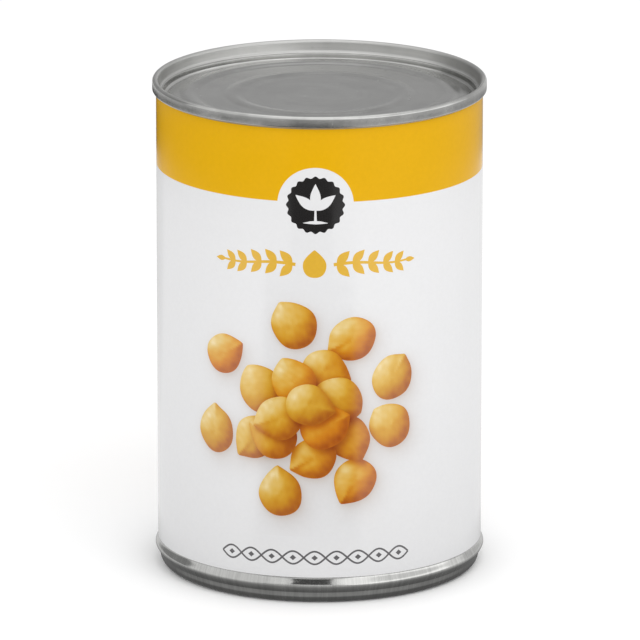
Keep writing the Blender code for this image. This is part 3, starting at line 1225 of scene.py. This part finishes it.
def pale_floor(studio):
    """Wide level floor."""
    half = studio.floor_side / 2.0
    mesh = bpy.data.meshes.new("studio_floor")
    corners = [(-half, -half, 0.0), (half, -half, 0.0), (half, half, 0.0), (-half, half, 0.0)]
    mesh.from_pydata(corners, [], [(0, 1, 2, 3)])
    mesh.materials.append(floor_material(studio))
    return placed("studio_floor", mesh)


def mirrored_studio(studio):
    """Tent and card that nothing but gloss sees."""
    tent = placed("studio_tent", tent_mesh(studio.tent))
    card = placed("studio_card", card_mesh())
    glow = glow_material()
    for mirrored in (tent, card):
        mirrored.data.materials.append(glow)
        mirrored.visible_camera = False
        mirrored.visible_diffuse = False
        mirrored.visible_shadow = False
        mirrored.visible_transmission = False
    return tent, card


def softbox_lamp(studio):
    """Soft lamp above the camera's side, turned to the can."""
    lamp = bpy.data.lights.new("softbox", "AREA")
    lamp.energy = studio.softbox
    lamp.size = studio.softbox_side
    softbox = placed("softbox", lamp)
    softbox.location = studio.softbox_place
    toward = Vector((0.0, 0.0, studio.aim)) - softbox.location
    softbox.rotation_euler = toward.to_track_quat("-Z", "Y").to_euler()
    softbox.visible_glossy = False


def studio_camera(studio):
    """Camera that looks down at the can's middle."""
    lens = bpy.data.cameras.new("camera")
    lens.sensor_width = 36.0
    lens.lens = studio.lens
    lens.clip_end = 50.0
    camera = placed("camera", lens)
    back = studio.distance * math.cos(studio.pitch)
    up = studio.distance * math.sin(studio.pitch)
    camera.location = (studio.aside, -back, studio.aim + up)
    camera.rotation_euler = (math.pi / 2.0 - studio.pitch, 0.0, 0.0)
    bpy.context.scene.camera = camera


def floor_material(studio):
    """Matt pale floor with a faint unevenness, which throws less light up close to the can."""
    material = bpy.data.materials.new("pale_floor")
    material.use_nodes = True
    tree = material.node_tree
    shader = tree.nodes["Principled BSDF"]
    shader.inputs["Roughness"].default_value = 0.9
    shader.inputs["Specular IOR Level"].default_value = 0.0
    place = node(tree, "ShaderNodeTexCoord").outputs["Object"]
    tone = remap(tree, speckle(tree, place, 6.0), 0.3, 0.7, 0.99, 1.0)
    away = node(tree, "ShaderNodeVectorMath", operation="LENGTH")
    tree.links.new(place, away.inputs[0])
    near = remap(tree, away.outputs["Value"], 0.06, 0.1, studio.absorbed, 0.0)
    bounced = node(tree, "ShaderNodeLightPath").outputs["Is Diffuse Ray"]
    tone = math_node(tree, "SUBTRACT", tone, times(tree, near, bounced))
    base = node(tree, "ShaderNodeRGB")
    base.outputs[0].default_value = (*studio.floor, 1.0)
    tree.links.new(scaled(tree, base.outputs[0], tone), shader.inputs["Base Color"])
    return material


# Operators


def dressed(name, mesh, node_name):
    """Place a mesh that stands for a solid of the frame and rides on the can."""
    if node_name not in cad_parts:
        raise RuntimeError(f"the frame has no node named {node_name}")
    piece = placed(name, mesh)
    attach(piece, "root")
    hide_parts(node_name)


class CAN_OT_steel_body(bpy.types.Operator):
    """Make the drawn steel body with its flared foot"""

    bl_idname = "can.steel_body"
    bl_label = "Steel body"

    def execute(self, context):
        steel, label = context.scene.can_steel, context.scene.can_label
        mesh = turned("steel_body", body_path(steel, label), steel.columns, steel.unevenness)
        mesh.materials.append(steel_material("bright_tinplate", steel, 0.12, 0.6, 1.0, draws=1.0))
        dressed("steel_body", mesh, "can_body")
        return {"FINISHED"}


class CAN_OT_seamed_end(bpy.types.Operator):
    """Make the ringed top end with its double seam"""

    bl_idname = "can.seamed_end"
    bl_label = "Seamed end"

    def execute(self, context):
        steel, label = context.scene.can_steel, context.scene.can_label
        mesh = turned("seamed_end", end_path(steel, label), steel.columns, steel.unevenness)
        mesh.materials.append(steel_material("satin_tinplate", steel, 0.17, 1.0, 1.0))
        mesh.materials.append(steel_material("chucked_tinplate", steel, 0.36, 2.0, 1.0))
        mesh.materials.append(steel_material("rolled_tinplate", steel, 0.2, 1.0, 2.0))
        middle = END_HIGH.x - steel.seam_thickness / 2.0
        for polygon in mesh.polygons:
            r, z = math.hypot(polygon.center.x, polygon.center.y), polygon.center.z
            if r > middle:
                polygon.material_index = 2
            elif z > END_HIGH.z - steel.ledge_depth:
                polygon.material_index = 1
        dressed("seamed_end", mesh, "top_end")
        return {"FINISHED"}


class CAN_OT_printed_label(bpy.types.Operator):
    """Make the paper label with its print and its glued lap"""

    bl_idname = "can.printed_label"
    bl_label = "Printed label"

    def execute(self, context):
        label = context.scene.can_label
        mesh = label_mesh("printed_label", label)
        mesh.materials.append(paper_material("white_paper", label.paper, 1.0, 0.16))
        mesh.materials.append(paper_material("band_ink", label.band, 1.6, 0.15, specular=0.25))
        mesh.materials.append(paper_material("picture_print", label.paper, 1.0, 0.16, "picture"))
        mesh.materials.append(paper_material("badge_ink", label.badge, 2.0, 0.16))
        mesh.materials.append(paper_material("gold_ink", label.gold, 2.0, 0.17))
        mesh.materials.append(paper_material("grey_ink", label.grey, 2.0, 0.17))
        dressed("printed_label", mesh, "label")
        return {"FINISHED"}


class CAN_OT_studio(bpy.types.Operator):
    """Set up the floor, the light and the camera"""

    bl_idname = "can.studio"
    bl_label = "Studio"

    def execute(self, context):
        studio = context.scene.can_studio
        context.scene.view_settings.view_transform = "Standard"
        even_light(studio)
        floor = pale_floor(studio)
        tent, card = mirrored_studio(studio)
        softbox_lamp(studio)
        studio_camera(studio)
        return {"FINISHED"}


class CAN_PT_build(bpy.types.Panel):
    """Buttons and settings of the food can"""

    bl_idname = "CAN_PT_build"
    bl_label = "Food Can"
    bl_space_type = "VIEW_3D"
    bl_region_type = "UI"
    bl_category = "Food Can"

    def draw(self, context):
        for operator, group in OPERATORS:
            self.layout.operator(operator)
            settings = getattr(context.scene, group)
            for name in settings.bl_rna.properties.keys():
                if name not in {"rna_type", "name"}:
                    self.layout.prop(settings, name)


OPERATORS = (
    ("can.studio", "can_studio"),
    ("can.steel_body", "can_steel"),
    ("can.seamed_end", "can_steel"),
    ("can.printed_label", "can_label"),
)
GROUPS = {"can_steel": CanSteel, "can_label": CanLabel, "can_studio": CanStudio}
CLASSES = (
    CanSteel,
    CanLabel,
    CanStudio,
    CAN_OT_steel_body,
    CAN_OT_seamed_end,
    CAN_OT_printed_label,
    CAN_OT_studio,
    CAN_PT_build,
)


def register():
    """Register the classes and hang their settings on the scene."""
    for item in CLASSES:
        bpy.utils.register_class(item)
    for name, group in GROUPS.items():
        setattr(bpy.types.Scene, name, PointerProperty(type=group))


def unregister():
    """Take the settings and the classes away again."""
    for name in GROUPS:
        delattr(bpy.types.Scene, name)
    for item in reversed(CLASSES):
        bpy.utils.unregister_class(item)


def main():
    """Build the studio and the can."""
    register()
    bpy.ops.can.studio()
    bpy.ops.can.steel_body()
    bpy.ops.can.seamed_end()
    bpy.ops.can.printed_label()


if __name__ == "__main__":
    main()
